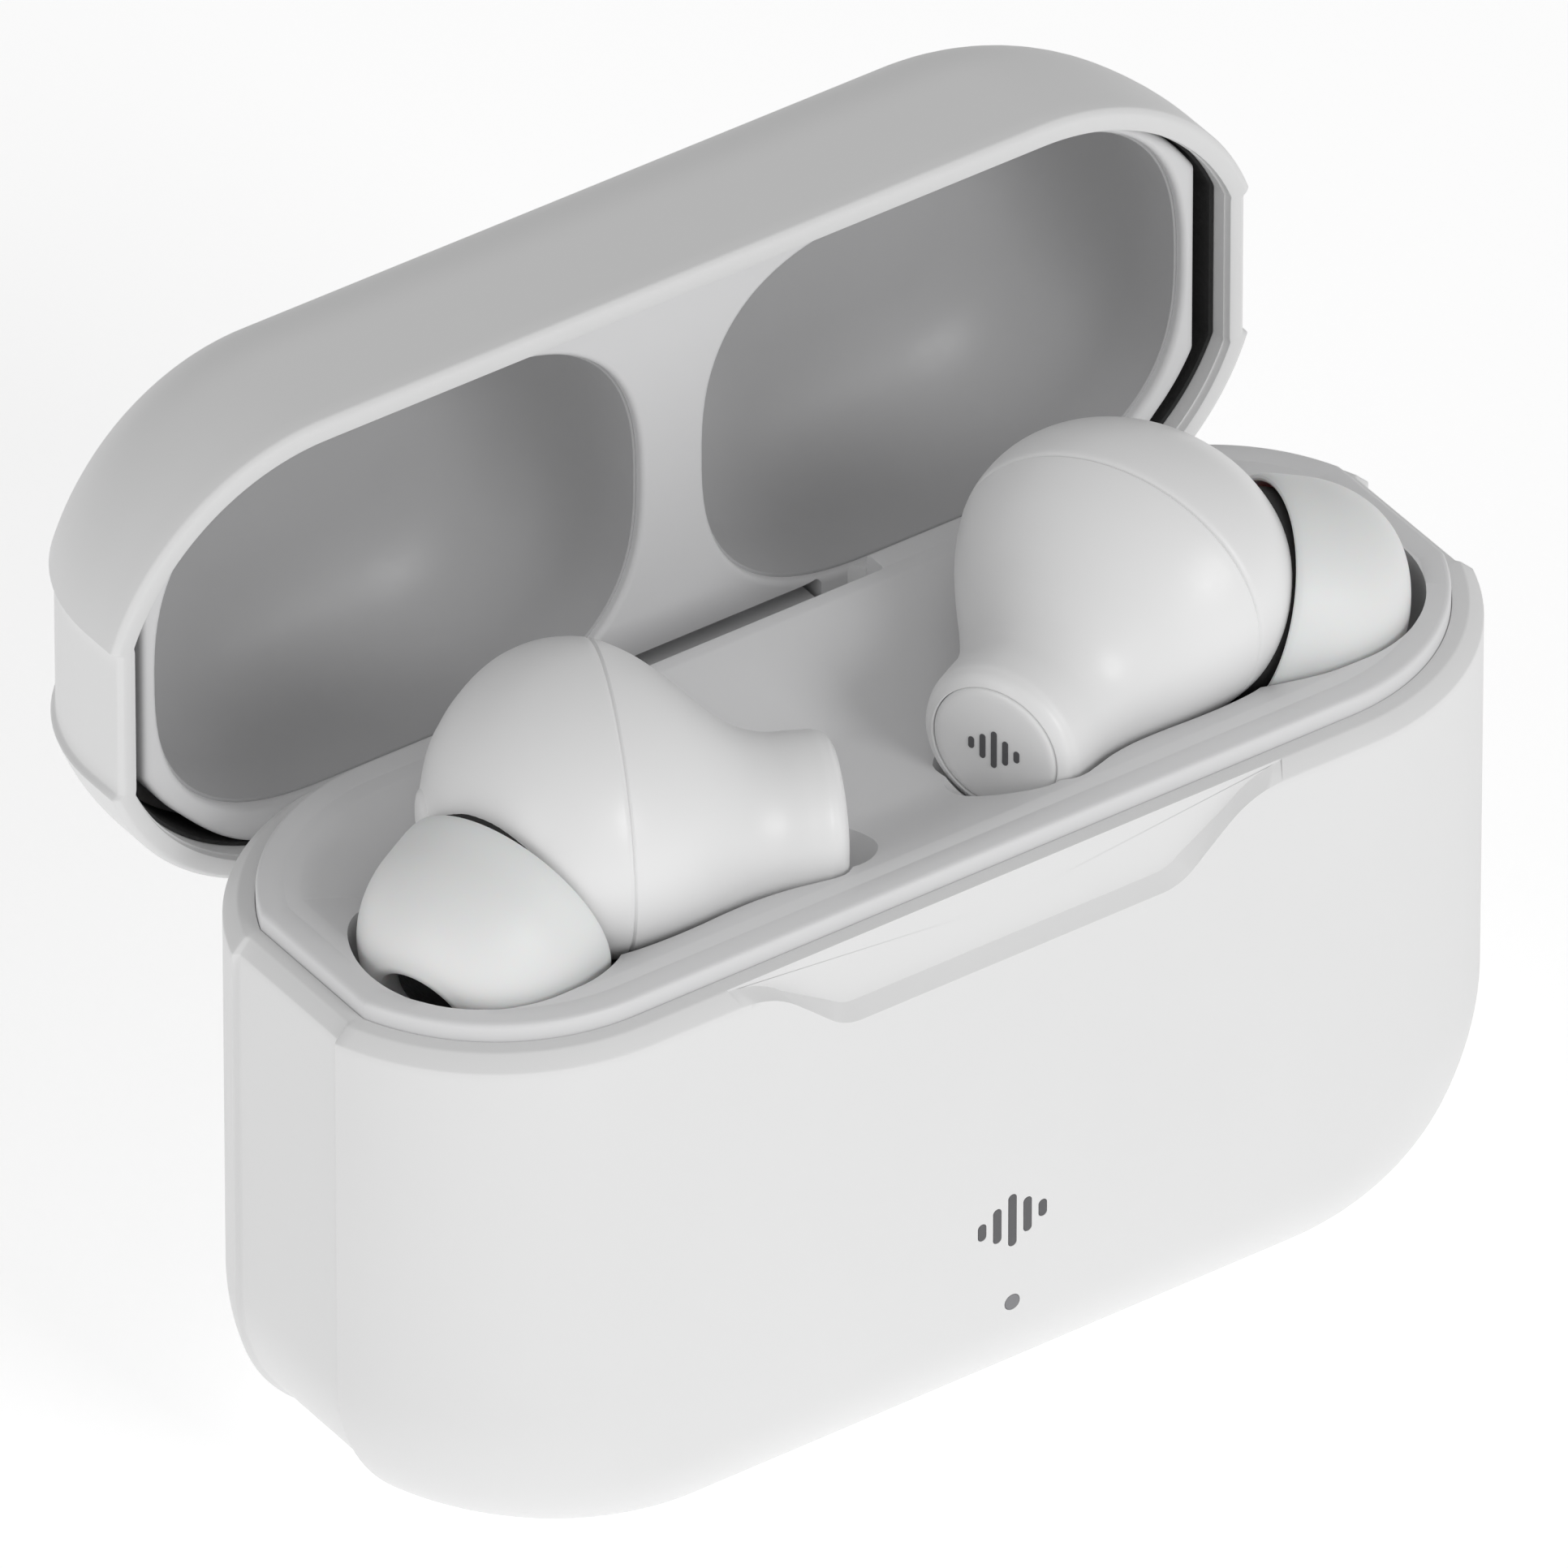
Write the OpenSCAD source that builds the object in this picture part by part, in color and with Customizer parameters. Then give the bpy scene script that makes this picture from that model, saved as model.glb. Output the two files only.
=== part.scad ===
// Charging case for wireless earbuds, lid open, both earbuds seated.
// Millimetres. Origin on the flat underside, X along the length, -Y is the front, +Z is up.

/* [Case outline] */
// Length of the closed case along X
case_l = 65; // [56:0.5:76]
// Depth of the case, front to back
case_d = 25; // [22:0.5:30]
// Height of the body up to its rim
body_h = 30; // [27:0.5:36]
// Height of the lid above the parting line
lid_h = 12.2; // [10:0.1:16]
// Gap between body rim and closed lid
part_gap = 0.2; // [0.1:0.05:0.5]
// Radius of the lower corners seen from the front
corner_r = 9.6; // [6:0.2:12]
// Radius of the lower long edges
edge_r = 4.8; // [2:0.2:7]
// Radius of the lid corners seen from the front
lid_corner_r = 10; // [6:0.2:11]
// Radius of the lid long edges
lid_edge_r = 6.5; // [3:0.2:8]
// Width of the flat channel down each end
channel_w = 7.7; // [4:0.1:12]
// Depth of that channel
channel_t = 1.0; // [0.6:0.1:1.6]

/* [Walls and gaps] */
// Wall of the body shell
wall = 1.5; // [1.2:0.1:2.2]
// Wall of the lid shell
lid_wall = 1.2; // [1:0.1:1.8]
// Roof of the lid shell over the earbuds
lid_roof = 0.9; // [0.8:0.1:1.5]
// Gap between parts fixed together
fit = 0.1; // [0.05:0.01:0.2]
// Free gap round each earbud in its pocket
bud_gap = 0.4; // [0.3:0.05:0.8]
// Width of the collar round the tray
collar_w = 2.2; // [1.6:0.1:3]
// Height of the collar above the body rim
collar_h = 0.9; // [0.5:0.1:1]
// Depth of the dished tray surface below the collar
dish_t = 2.4; // [1:0.1:3]
// Depth of the tray block below the rim
tray_t = 7.6; // [7:0.1:9]

/* [Hinge] */
// Hinge axis in from the rear face
hinge_in = 2.75; // [2.5:0.05:3.5]
// Hinge axis below the closed lid rim
hinge_down = 3.75; // [3:0.05:5]
// Radius of the hinge barrel
barrel_r = 2.6; // [2.2:0.05:3]
// Width of the hinge barrel
barrel_w = 16; // [10:0.5:24]
// Radius of the hinge pin
pin_r = 0.75; // [0.5:0.05:1]
// Running gap round the pin
pin_gap = 0.05; // [0.03:0.01:0.1]

/* [Earbuds] */
// Distance of the touch face from the middle of the case
face_x = 4.3; // [4.2:0.1:6]
// Distance of the touch face in front of the middle
face_y = 4.8; // [3:0.1:5]
// Height of the stem axis above the body rim
stem_up = 0.9; // [0.5:0.1:1.5]
// Turn of the earbud about the vertical
bud_turn = 154.9; // [150:0.1:160]
// Turn of the nozzle away from the stem axis
tip_turn = 43.5; // [35:0.5:50]
// Dip of the nozzle below level
tip_dip = 18.8; // [10:0.1:25]
// Skirt radius of the silicone ear tip
tip_r = 5.7; // [5:0.1:6]
// Length of the ear tip
tip_l = 6.4; // [6:0.1:7.5]
// Wall of the earbud housings
bud_wall = 0.9; // [0.7:0.1:1.2]
// Radius of the nozzle
nozzle_r = 2.3; // [2:0.1:2.6]

/* [Electronics] */
// Length of the charging cell
cell_l = 34; // [28:0.5:38]
// Depth of the charging cell
cell_d = 15; // [12:0.5:17]
// Height of the charging cell
cell_h = 8.4; // [6:0.1:8.6]
// Length of the main board
board_l = 44; // [40:0.5:46]
// Radius of a contact pin plunger
pogo_r = 0.5; // [0.4:0.05:0.6]
// Travel of a contact pin
pogo_stroke = 0.5; // [0.3:0.05:0.6]

/* [Hidden] */
hl = case_l / 2;
hd = case_d / 2;
lid_z = body_h + part_gap;
lid_top = lid_z + lid_h;
hinge_y = hd - hinge_in;
hinge_z = lid_z - hinge_down;
tray_z = body_h - tray_t;
inset = wall + fit;
collar_z = body_h + collar_h;
liner_z = collar_z + 0.4;
stem_z = body_h + stem_up;
bulb_x = 11.4;
bulb_z = 2.4;
seam_x = 9.6;
sweep_r = sqrt(pow(hinge_down, 2) + pow(hinge_in - lid_wall, 2)) - 0.2;
port_z = 6.6;
white = [0.86, 0.86, 0.86];
pale = [0.76, 0.76, 0.77];
grey = [0.45, 0.45, 0.46];
steel = [0.62, 0.63, 0.65];
green = [0.10, 0.32, 0.20];
gold = [0.80, 0.65, 0.30];
dark = [0.10, 0.10, 0.11];

// Half-size of a rounded edge of radius r, at height z above its start.
function half(z, h, r) = h - r + sqrt(max(0, r * r - pow(max(0, r - z), 2)));
// x of the round end at offset y.
function round_x(a, r, y) = a - r + sqrt(max(0, r * r - y * y));
// One quarter of the outline, from the long side to the edge of the end channel.
function end_side(a, r, s, cw, ct, n = 8) =
    let (ye = min(r * 0.92, cw / 2 + 0.4), t1 = asin(ye / r), yf = ye - 0.4 * ye / (cw / 2 + 0.4))
    concat([for (i = [0:n]) let (t = -90 + (90 - t1) * i / n) [a - r + r * cos(t), r * sin(t)]],
        [[min(a - ct, round_x(a, r, yf)), -yf]]);
// Whole outline at height z: round ends, with a flat channel down the middle of each.
function outline(a, r, z, cw, ct) =
    let (q = end_side(a, r, 1, cw, ct), m = len(q) - 1)
    [for (p = q) [p[0], p[1], z], for (i = [m:-1:0]) [q[i][0], -q[i][1], z],
     for (p = q) [-p[0], -p[1], z], for (i = [m:-1:0]) [-q[i][0], q[i][1], z]];
// Oval outline in the plane across X.
function oval(x, ry, rz, c, n = 36) =
    [for (i = [0:n - 1]) let (t = 360 * i / n) [x, ry * cos(t), c + rz * sin(t)]];
// Level list for a rounded edge of radius r, n steps.
function levels(r, n) = [for (i = [0:n]) r * (1 - cos(90 * i / n))];

// Skin over a list of equal rings; capped at both ends, or closed into a loop.
module skin(rings, loop = false) {
    n = len(rings[0]);
    m = len(rings);
    last = loop ? m - 1 : m - 2;
    sides = [for (j = [0:last]) for (i = [0:n - 1])
        let (a = j * n + i, b = j * n + (i + 1) % n,
            c = ((j + 1) % m) * n + (i + 1) % n, d = ((j + 1) % m) * n + i)
        each [[a, d, b], [b, d, c]]];
    caps = loop ? [] : [[for (i = [0:n - 1]) i], [for (i = [n - 1:-1:0]) (m - 1) * n + i]];
    polyhedron(points = [for (r = rings) each r], faces = concat(sides, caps), convexity = 8);
}
// Open tub with a rounded bottom: outside up, over the rim, inside down.
module tub(h, rc, re, w, floor_t, chamfer, step_z, step_t) {
    lv = levels(rc, 9);
    ri = rc - w;
    li = levels(ri, 9);
    up = [for (z = lv) outline(half(z, hl, rc), half(z, hd, re), z, channel_w, channel_t)];
    rim = [outline(hl, hd, h - chamfer, channel_w, channel_t),
        outline(hl - chamfer, hd - chamfer, h, channel_w, channel_t),
        outline(hl - w, hd - w, h, channel_w, channel_t - 0.2)];
    down = step_t == 0 ? [] : [outline(hl - w, hd - w, step_z, channel_w, channel_t - 0.2),
        outline(hl - w - step_t, hd - w - step_t, step_z - step_t, channel_w, channel_t - 0.2)];
    low = [for (i = [9:-1:0]) let (z = li[i])
        outline(half(z, hl - w - step_t, ri), half(z, hd - w - step_t, max(1, re - w)),
            z + floor_t, channel_w, channel_t - 0.2)];
    skin(concat(up, rim, down, low));
}
// Five rounded level bars, a generic mark, standing on the XY plane.
module bars(s, t, g = 0) {
    hs = [0.9, 1.9, 2.9, 1.9, 0.9];
    for (i = [0:4]) translate([(i - 2) * 0.85 * s, 0, 0]) {
        translate([-0.21 * s - g, -(hs[i] / 2 - 0.21) * s, 0])
            cube([0.42 * s + 2 * g, (hs[i] - 0.42) * s, t]);
        for (k = [-1, 1]) translate([0, k * (hs[i] / 2 - 0.21) * s, 0]) cylinder(h = t, r = 0.21 * s + g, $fn = 24);
    }
}
// Box with its long edges along Z rounded.
module block(x, y, z, r) {
    linear_extrude(z) union() {
        square([x - 2 * r, y], center = true);
        square([x, y - 2 * r], center = true);
        for (i = [-1, 1], j = [-1, 1]) translate([i * (x / 2 - r), j * (y / 2 - r)]) circle(r, $fn = 32);
    }
}
// Flat outline with round ends, cut off square at the channel.
module flat_outline(d, e) {
    intersection() {
        union() {
            square([2 * (hl - hd), 2 * (hd - d)], center = true);
            for (i = [-1, 1]) translate([i * (hl - hd), 0]) circle(hd - d, $fn = 72);
        }
        square([2 * (hl - e), case_d], center = true);
    }
}
// Outline of a lid hollow, left side: straight sides between two ends of power e, 2 being round.
function hollow_ring(r, z, e = 2, n = 20) = [
    for (i = [0:2 * n + 1]) let (t = -90 + 180 * i / n - (i > n ? 180 / n : 0), c = cos(t), s = sin(t), k = 2 / e)
        [i > n ? -18.6 - r * pow(abs(c), k) : -11.8 + r * pow(abs(c), k), -0.75 + (r - 0.2) * sign(s) * pow(abs(s), k), z]];
module hollow_2d(r) polygon([for (p = hollow_ring(r, 0, 2.6)) [p[0], p[1]]]);

// Earbud outline: distance from the touch face, half-width, half-height, rise of the centre.
bud = [[0, 3.1, 3.1, 0], [0.25, 3.62, 3.62, 0], [0.75, 3.95, 3.95, 0], [1.6, 4.05, 4.05, 0],
    [3.4, 4.15, 4.1, 0.05], [4.8, 4.55, 4.4, 0.3], [6.2, 5.35, 5.05, 0.85], [7.6, 6.35, 5.8, 1.5],
    [8.8, 7.1, 6.35, 1.95], [seam_x, 7.5, 6.65, 2.15], [10.8, 7.95, 6.97, 2.36], [12, 8.1, 7.1, 2.4],
    [13.6, 7.95, 6.95, 2.4], [15.2, 7.3, 6.4, 2.35], [16.6, 6.2, 5.5, 2.25], [17.8, 4.8, 4.3, 2.15],
    [18.7, 3.2, 2.9, 2.1], [19.2, 1.6, 1.45, 2.05]];
stem_n = 9;
module bud_place() {
    translate([-face_x, -face_y, stem_z]) rotate([0, 0, bud_turn]) children();
}
module tip_place() {
    translate([bulb_x, 0, bulb_z]) rotate([0, 90 + tip_dip, tip_turn]) children();
}
// Grown solid of one earbud, carried straight up, used to cut its pocket.
module pocket(g) {
    hull() for (up = [0, 12]) translate([0, 0, up]) bud_place() skin([for (p = bud)
        oval(p[0] * (19.2 + 2 * g) / 19.2 - g, p[1] + g, p[2] + g, p[3], 32)]);
    hull() for (up = [0, 12]) translate([0, 0, up]) bud_place() tip_place() {
        translate([0, 0, 6.6]) cylinder(h = 4.2, r = tip_r + g, $fn = 32);
        translate([0, 0, 6.6]) cylinder(h = tip_l + 1, r = 2.6 + g, $fn = 32);
        translate([0, 0, 6.6]) cylinder(h = tip_l - 0.5, r = 4.75 + g, $fn = 32);
    }
}

module outer_shell() color(white) difference() {
    union() {
        tub(body_h, corner_r, edge_r, wall, wall, 0.8, tray_z - 0.05, 0.6);
        for (x = [-19, 19], y = [-5, 5]) translate([x, y, wall - 0.3]) cylinder(h = 2.3, r = 1.6, $fn = 40);
    }
    for (x = [-19, 19], y = [-5, 5]) translate([x, y, 1.8]) cylinder(h = 3, r = 0.52, $fn = 32);
    // thumb notch with a sloping ledge
    hull() {
        for (k = [[-hd - 0.3, 4.3, 9.2, 13.8], [-hd + 0.8, 3.2, 9.9, 13.3]])
            translate([0, k[0], 0]) rotate([90, 0, 0]) linear_extrude(0.02)
                polygon([[-k[2], body_h - k[1]], [k[2], body_h - k[1]], [k[3], body_h - 0.6],
                    [k[3], body_h + 1], [-k[3], body_h + 1], [-k[3], body_h - 0.6]]);
    }
    // front mark and lamp
    translate([0, -hd + 0.5, 10.6]) rotate([90, 0, 0]) bars(1, 1, 0.03);
    translate([0, -hd + 3, 5.9]) rotate([90, 0, 0]) cylinder(h = 4, r = 0.43, $fn = 32);
    // charging port
    translate([0, hd + 1, port_z]) rotate([90, 0, 0]) block(9.3, 3.6, 4, 1.6);
    // window for the hinge barrel, and the rim cleared for the turning lid
    translate([-barrel_w / 2 - 0.3, hinge_y, hinge_z - barrel_r - 0.3]) cube([barrel_w + 0.6, 10, 20]);
    difference() {
        translate([-hl, hinge_y, hinge_z]) cube([case_l, 6, 8]);
        translate([-hl - 1, hinge_y, hinge_z]) rotate([0, 90, 0]) cylinder(h = case_l + 2, r = sweep_r, $fn = 96);
    }
}
module front_mark() color(grey)
    translate([0, -hd + 0.45, 10.6]) rotate([90, 0, 0]) bars(1, 0.45);
module light_pipe() color(pale) translate([0, -hd + 2.6, 5.9]) rotate([90, 0, 0]) {
    cylinder(h = 2.6, r = 0.4, $fn = 32);
    cylinder(h = 0.45, r = 0.9, $fn = 32);
}
module tray() color(pale) resize([0, 0, 0]) difference() {
    difference() {
        skin(concat([outline(hl - inset, hd - inset, tray_z, channel_w, channel_t - 0.2),
            outline(hl - inset, hd - inset, collar_z - 0.3, channel_w, channel_t - 0.2),
            outline(hl - inset - 0.3, hd - inset - 0.3, collar_z, channel_w, channel_t - 0.2),
            outline(hl - inset - collar_w, hd - inset - collar_w, collar_z, channel_w, channel_t - 0.2)],
            [for (k = [[0.2, 0.1], [1.35, 0.33], [2.7, 0.64], [4.3, 0.88], [6.1, 1]])
                outline(hl - inset - collar_w - k[0], hd - inset - collar_w - k[0], collar_z - dish_t * k[1],
                    channel_w, channel_t - 0.2)]));
        pocket(bud_gap);
        mirror([1, 0, 0]) pocket(bud_gap);
    }
    // hinge recess from below, barrel room, and the slot for the arm
    translate([-11.1, hinge_y - barrel_r - 0.4, tray_z - 1]) cube([22.2, 9, hinge_z + 2.3 - tray_z + 1]);
    translate([-barrel_w / 2 - 0.3, hinge_y, hinge_z]) rotate([0, 90, 0])
        cylinder(h = barrel_w + 0.6, r = barrel_r + 0.3, $fn = 72);
    translate([-barrel_w / 2 - 0.3, hinge_y - 0.15, hinge_z]) cube([barrel_w + 0.6, 4, 9]);
    for (s = [-1, 1]) {
        translate([s * 8, 6.3, tray_z - 1]) cylinder(h = 3.6, r = 0.52, $fn = 32);
        for (d = [3.2, 5.6]) translate(contact_at(s, d)) translate([0, 0, tray_z - 1]) cylinder(h = 6, r = 1, $fn = 32);
        translate([s * 14.2, 0, tray_z - 1]) cylinder(h = 2.7, r = 2.4, $fn = 40);
    }
    for (x = [-18.5, 18.5], y = [-6.6, 2.2]) translate([x, y, tray_z - 1]) cylinder(h = 1.9, r = 0.52, $fn = 32);
    translate([0, -hd + 3.7, tray_z - 1]) cylinder(h = body_h - 0.9 - tray_z + 1, r = 1.7, $fn = 40);
}
function contact_at(s, d) =
    [s * (face_x - d * cos(bud_turn)), -face_y + d * sin(bud_turn), 0];
module hinge_bracket() color(steel) difference() {
    union() {
        for (x = [-1, 1]) translate([x > 0 ? barrel_w / 2 + 0.3 : -barrel_w / 2 - 2.8, hinge_y - 2.2, tray_z - 1.4])
            cube([2.5, hd - wall - 0.8 - hinge_y + 2.2, hinge_z + 2 - tray_z + 1.4]);
        for (x = [-1, 1]) translate([x > 0 ? barrel_w / 2 + 0.3 : -barrel_w / 2 - 2.8, hinge_y - 2.2, tray_z + 0.1])
            cube([2.5, hd - wall - 0.15 - hinge_y + 2.2, hinge_z + 2 - tray_z - 0.1]);
        translate([-10.8, hinge_y - 2.2, tray_z - 1.4]) cube([21.6, hd - wall - 1.1 - hinge_y + 2.2, 1.3]);
        translate([-10.8, 5, tray_z - 1.4]) cube([21.6, hinge_y - 2.2 - 5 + 0.1, 1.3]);
    }
    translate([-15, hinge_y, hinge_z]) rotate([0, 90, 0]) cylinder(h = 30, r = pin_r + 0.02, $fn = 40);
    for (x = [-8, 8]) translate([x, 6.3, tray_z - 3]) cylinder(h = 4, r = 0.55, $fn = 32);
}
module hinge_pin() color(steel) translate([-10.8, hinge_y, hinge_z]) rotate([0, 90, 0])
    cylinder(h = 21.6, r = pin_r, $fn = 40);
module screw(l, r) {
    cylinder(h = l, r = r, $fn = 32);
    translate([0, 0, -0.6]) difference() {
        cylinder(h = 0.6, r = r * 1.9, $fn = 32);
        for (a = [0, 90]) rotate([0, 0, a]) translate([-r * 1.1, -0.12, -0.1]) cube([2.2 * r, 0.24, 0.4]);
    }
}
module bracket_screws() color(steel)
    for (x = [-8, 8]) translate([x, 6.3, tray_z - 1.45]) screw(3.9, 0.5);
module usb_port() color(steel) translate([0, hd - 0.15, port_z]) rotate([90, 0, 0]) difference() {
    block(8.94, 3.26, 7.8, 1.5);
    translate([0, 0, -0.3]) block(8.34, 2.66, 7.6, 1.25);
}
module usb_tongue() color(dark) translate([0, hd - 6.4, port_z]) rotate([90, 0, 0]) {
    translate([0, 0, -5.4]) block(6.6, 0.7, 5.6, 0.2);
    block(7.9, 2.3, 0.9, 0.8);
}
module main_board() color(green) translate([0, 0, 3.6]) difference() {
    block(board_l, 15.4, 1, 2);
    for (x = [-19, 19], y = [-5, 5]) translate([x, y, -1]) cylinder(h = 3, r = 0.6, $fn = 32);
}
module board_screws() color(steel)
    for (x = [-19, 19], y = [-5, 5]) translate([x, y, 4.65]) mirror([0, 0, 1]) screw(2.5, 0.5);
module board_chips() color(dark) {
    translate([-10, -2, 4.65]) block(5, 5, 0.9, 0.2);
    translate([9, -2.5, 4.65]) block(4, 4, 0.8, 0.2);
    translate([0, -6.6, 4.65]) block(1.6, 0.9, 0.6, 0.1);
    translate([-15, 4.5, 4.65]) block(3, 2.2, 1.4, 0.2);
}
module battery() color(steel) translate([0, -1, 9.2]) difference() {
    block(cell_l, cell_d, cell_h, 2.2);
    translate([-cell_l / 2 - 1, -3, 2.8]) cube([1.6, 6, 3]);
}
module battery_pad() color(dark) translate([0, -1.6, 8.32]) block(29, 11, 0.8, 1);
module charge_board() color(green) translate([0, -2.2, tray_z - 4]) difference() {
    block(41, 13, 1, 1.5);
    for (x = [-18.5, 18.5], y = [-4.4, 4.4]) translate([x, y, -1]) cylinder(h = 3, r = 0.6, $fn = 32);
}
module charge_screws() color(steel) for (x = [-18.5, 18.5], y = [-6.6, 2.2]) translate([x, y, tray_z - 4.05]) {
    screw(4.8, 0.5);
    translate([0, 0, 1.1]) difference() {
        cylinder(h = 2.9, r = 1.3, $fn = 32);
        translate([0, 0, -1]) cylinder(h = 5, r = 0.6, $fn = 32);
    }
}
module pogo_barrels() color(gold) for (s = [-1, 1], d = [3.2, 5.6]) translate(contact_at(s, d)) difference() {
    translate([0, 0, tray_z - 2.95]) cylinder(h = stem_z - 4.9 - tray_z + 2.95, r = 0.9, $fn = 40);
    translate([0, 0, tray_z - 2]) cylinder(h = 8, r = pogo_r + 0.06, $fn = 40);
}
module plungers(s) color(gold) for (d = [3.2, 5.6]) translate(contact_at(s, d)) {
    translate([0, 0, tray_z - 1]) cylinder(h = stem_z - 4.6 - tray_z + 1, r = pogo_r, $fn = 40);
    translate([0, 0, stem_z - 4.6]) cylinder(h = 0.2, r1 = pogo_r, r2 = pogo_r * 0.6, $fn = 40);
}
module pogo_left() plungers(-1);
module pogo_right() plungers(1);
module bud_magnets() color(steel) for (x = [-14.2, 14.2]) translate([x, 0, tray_z + 0.1]) cylinder(h = 1.5, r = 2.3, $fn = 40);
module lock_magnet() color(steel) translate([0, -hd + 3.7, body_h - 2.6]) cylinder(h = 1.6, r = 1.6, $fn = 40);

module lid_shell() color(white) difference() {
    translate([0, 0, lid_top]) mirror([0, 0, 1])
        tub(lid_h, lid_corner_r, lid_edge_r, lid_wall, lid_roof, 0.3, 0, 0);
    for (x = [-5, 5]) translate([x, hd - lid_wall - 0.5, liner_z + 2.2]) rotate([-90, 0, 0]) cylinder(h = 1.2, r = 0.52, $fn = 32);
}
module lid_liner() color(pale) difference() {
    translate([0, 0, liner_z]) linear_extrude(2.3) difference() {
        flat_outline(lid_wall + fit, 3.1);
        hollow_2d(10.2 + fit);
        mirror([1, 0]) hollow_2d(10.2 + fit);
    }
    translate([-barrel_w / 2 - 0.3, hd - lid_wall - 2.4, lid_z]) cube([barrel_w + 0.6, 5, 9]);
    translate([0, -hd + 3.7, liner_z + 1]) cylinder(h = 5, r = 1.7, $fn = 40);
}
module lid_dish() {
    t = lid_top - lid_roof - fit - 0.05;
    h = t - liner_z - 0.05;
    translate([0, 0, t]) mirror([0, 0, 1]) skin(concat(
        [for (z = levels(6.6, 6)) hollow_ring(half(z, 10.2, 6.6), z, 2 + 0.06 * z)],
        [hollow_ring(10.2, h, 2.6), hollow_ring(9.8, h, 2.6)],
        [for (z = [for (k = [6:-1:0]) levels(6.2, 6)[k]]) hollow_ring(half(z, 9.8, 6.2), z + 0.4, 2 + 0.06 * z)]));
}
module lid_dish_left() color(grey) lid_dish();
module lid_dish_right() color(grey) mirror([1, 0, 0]) lid_dish();
module lid_magnet() color(steel) translate([0, -hd + 3.7, liner_z + 1.1]) cylinder(h = 1.6, r = 1.6, $fn = 40);
module hinge_arm() color(pale) difference() {
    union() {
        translate([-barrel_w / 2, hinge_y, hinge_z]) rotate([0, 90, 0]) cylinder(h = barrel_w, r = barrel_r, $fn = 72);
        translate([-barrel_w / 2, hinge_y + 0.15, hinge_z]) cube([barrel_w, hinge_in - 0.3, hinge_down - 0.1]);
        translate([-barrel_w / 2, hinge_y + 0.15, hinge_z]) cube([barrel_w, hinge_in - lid_wall - 0.25, hinge_down + 5]);
    }
    translate([-15, hinge_y, hinge_z]) rotate([0, 90, 0]) cylinder(h = 30, r = pin_r + pin_gap, $fn = 40);
    for (x = [-5, 5]) translate([x, hinge_y - 3, liner_z + 2.2]) rotate([-90, 0, 0]) cylinder(h = 8, r = 0.53, $fn = 32);
}
module arm_screws() color(steel) for (x = [-5, 5])
    translate([x, hinge_y + 0.1, liner_z + 2.2]) rotate([-90, 0, 0]) screw(hinge_in - lid_wall + 0.4, 0.5);

// Earbud parts, left side; the right ones are mirrored.
module inner_housing() color(white) resize([0, 0, 0]) difference() {
    union() {
        skin(concat([oval(18.3, 2.4, 2.1, 2.1)],
            [for (i = [len(bud) - 3:-1:stem_n]) oval(bud[i][0], bud[i][1] - bud_wall, bud[i][2] - bud_wall, bud[i][3])],
            [for (i = [stem_n:len(bud) - 1]) oval(bud[i][0], bud[i][1], bud[i][2], bud[i][3])]));
        tip_place() translate([0, 0, 6]) cylinder(h = tip_l - 0.4, r = nozzle_r, $fn = 40);
    }
    tip_place() translate([0, 0, 4.5]) cylinder(h = tip_l + 3, r = nozzle_r - 0.6, $fn = 40);
}
module outer_housing() color(white) difference() {
    skin(concat([for (i = [0:stem_n]) oval(bud[i][0], bud[i][1], bud[i][2], bud[i][3])],
        [for (i = [stem_n:-1:4]) oval(bud[i][0], bud[i][1] - bud_wall, bud[i][2] - bud_wall, bud[i][3])],
        [oval(0.9, 3.1, 3.1, 0), oval(0.9, 2.6, 2.6, 0), oval(0, 2.6, 2.6, 0)]), true);
    for (d = [3.2, 5.6]) translate([d, 0, -5.5]) cylinder(h = 2.6, r = 0.83, $fn = 32);
    translate([2.2, -2.6, 0]) rotate([90, 0, 0]) cylinder(h = 3, r = 0.45, $fn = 24);
}
module touch_plate() color(white) difference() {
    rotate([0, 90, 0]) cylinder(h = 0.8, r = 2.57, $fn = 48);
    touch_bars(0.03);
}
module touch_bars(g) translate([-0.2, 0, 0]) rotate([0, 90, 0]) rotate([0, 0, 90])
    bars(0.7, 0.4, g);
module touch_mark() color(grey) intersection() {
    touch_bars(0);
    translate([0, -3, -3]) cube([0.19, 6, 6]);
}
module ear_tip() color(white) tip_place() translate([0, 0, 7.2]) rotate_extrude($fn = 72)
    polygon(concat([[nozzle_r + 0.05, 1.2]],
        [[nozzle_r + 0.6, 1.2], [nozzle_r + 0.6, 4.2]],
        [for (i = [0:6]) let (t = 70 - 70 * i / 6) [nozzle_r + 0.6 + (tip_r - nozzle_r - 1.2) * cos(t), 1.6 + 3.6 * sin(t)]],
        [[tip_r - 0.6, 0], [tip_r, 0]],
        [for (i = [0:9]) let (t = 75 * i / 9) [tip_r * 0.35 + tip_r * 0.65 * cos(t), 1.6 + (tip_l - 1.6) * sin(t) / sin(78)]],
        [[nozzle_r + 0.5, tip_l], [nozzle_r - 0.5, tip_l - 0.2], [nozzle_r - 0.5, tip_l - 1.3],
         [nozzle_r + 0.05, tip_l - 1.5]]));
module tip_mesh() color(dark) tip_place() translate([0, 0, tip_l + 4.7]) cylinder(h = 0.3, r = nozzle_r - 0.65, $fn = 40);
module driver() color(dark) tip_place() {
    translate([0, 0, 1.9]) cylinder(h = 1.6, r = 3.4, $fn = 48);
    translate([0, 0, 3.5]) cylinder(h = 0.8, r = 2.8, $fn = 48);
}
module bud_cell() color(steel) translate([6.6, 0, 1.7]) rotate([0, 90, 0]) cylinder(h = 2.7, r = 3.7, $fn = 48);
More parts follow.
